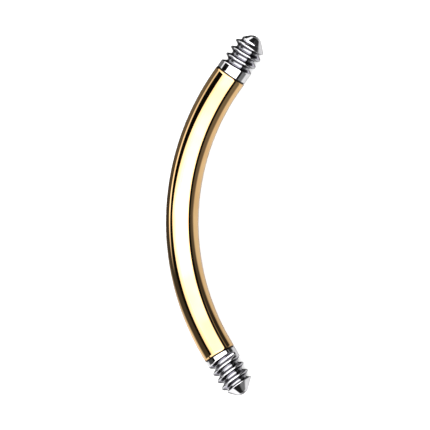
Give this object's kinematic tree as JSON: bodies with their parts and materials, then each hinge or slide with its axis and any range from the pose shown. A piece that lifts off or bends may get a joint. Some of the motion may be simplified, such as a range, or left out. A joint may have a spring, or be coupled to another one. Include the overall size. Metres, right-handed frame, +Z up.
{
  "type": "curved barbell post",
  "caption": "Curved barbell post for a piercing: a polished gold-coated rod bent to a shallow arc, with a bare steel collar, coarse screw thread and rounded nose at each end.",
  "frame": {"origin": "on the ground, under the middle of the box that the part fills as it lies on its side", "axes": "+X along the line between the two ends of the gold coat, +Y towards the outer side of the bend, +Z up, square to the plane of the bend"},
  "size_m": [0.0132, 0.0034, 0.0012],
  "materials": {
    "bare_steel": "turned, threaded and bright polished bare steel",
    "gold": "mirror-polished pale gold coat with fine lengthwise polishing marks"
  },
  "bodies": {
    "root": {"threaded_bar": "bare_steel", "gold_coat": "gold"}
  },
  "joints": []
}
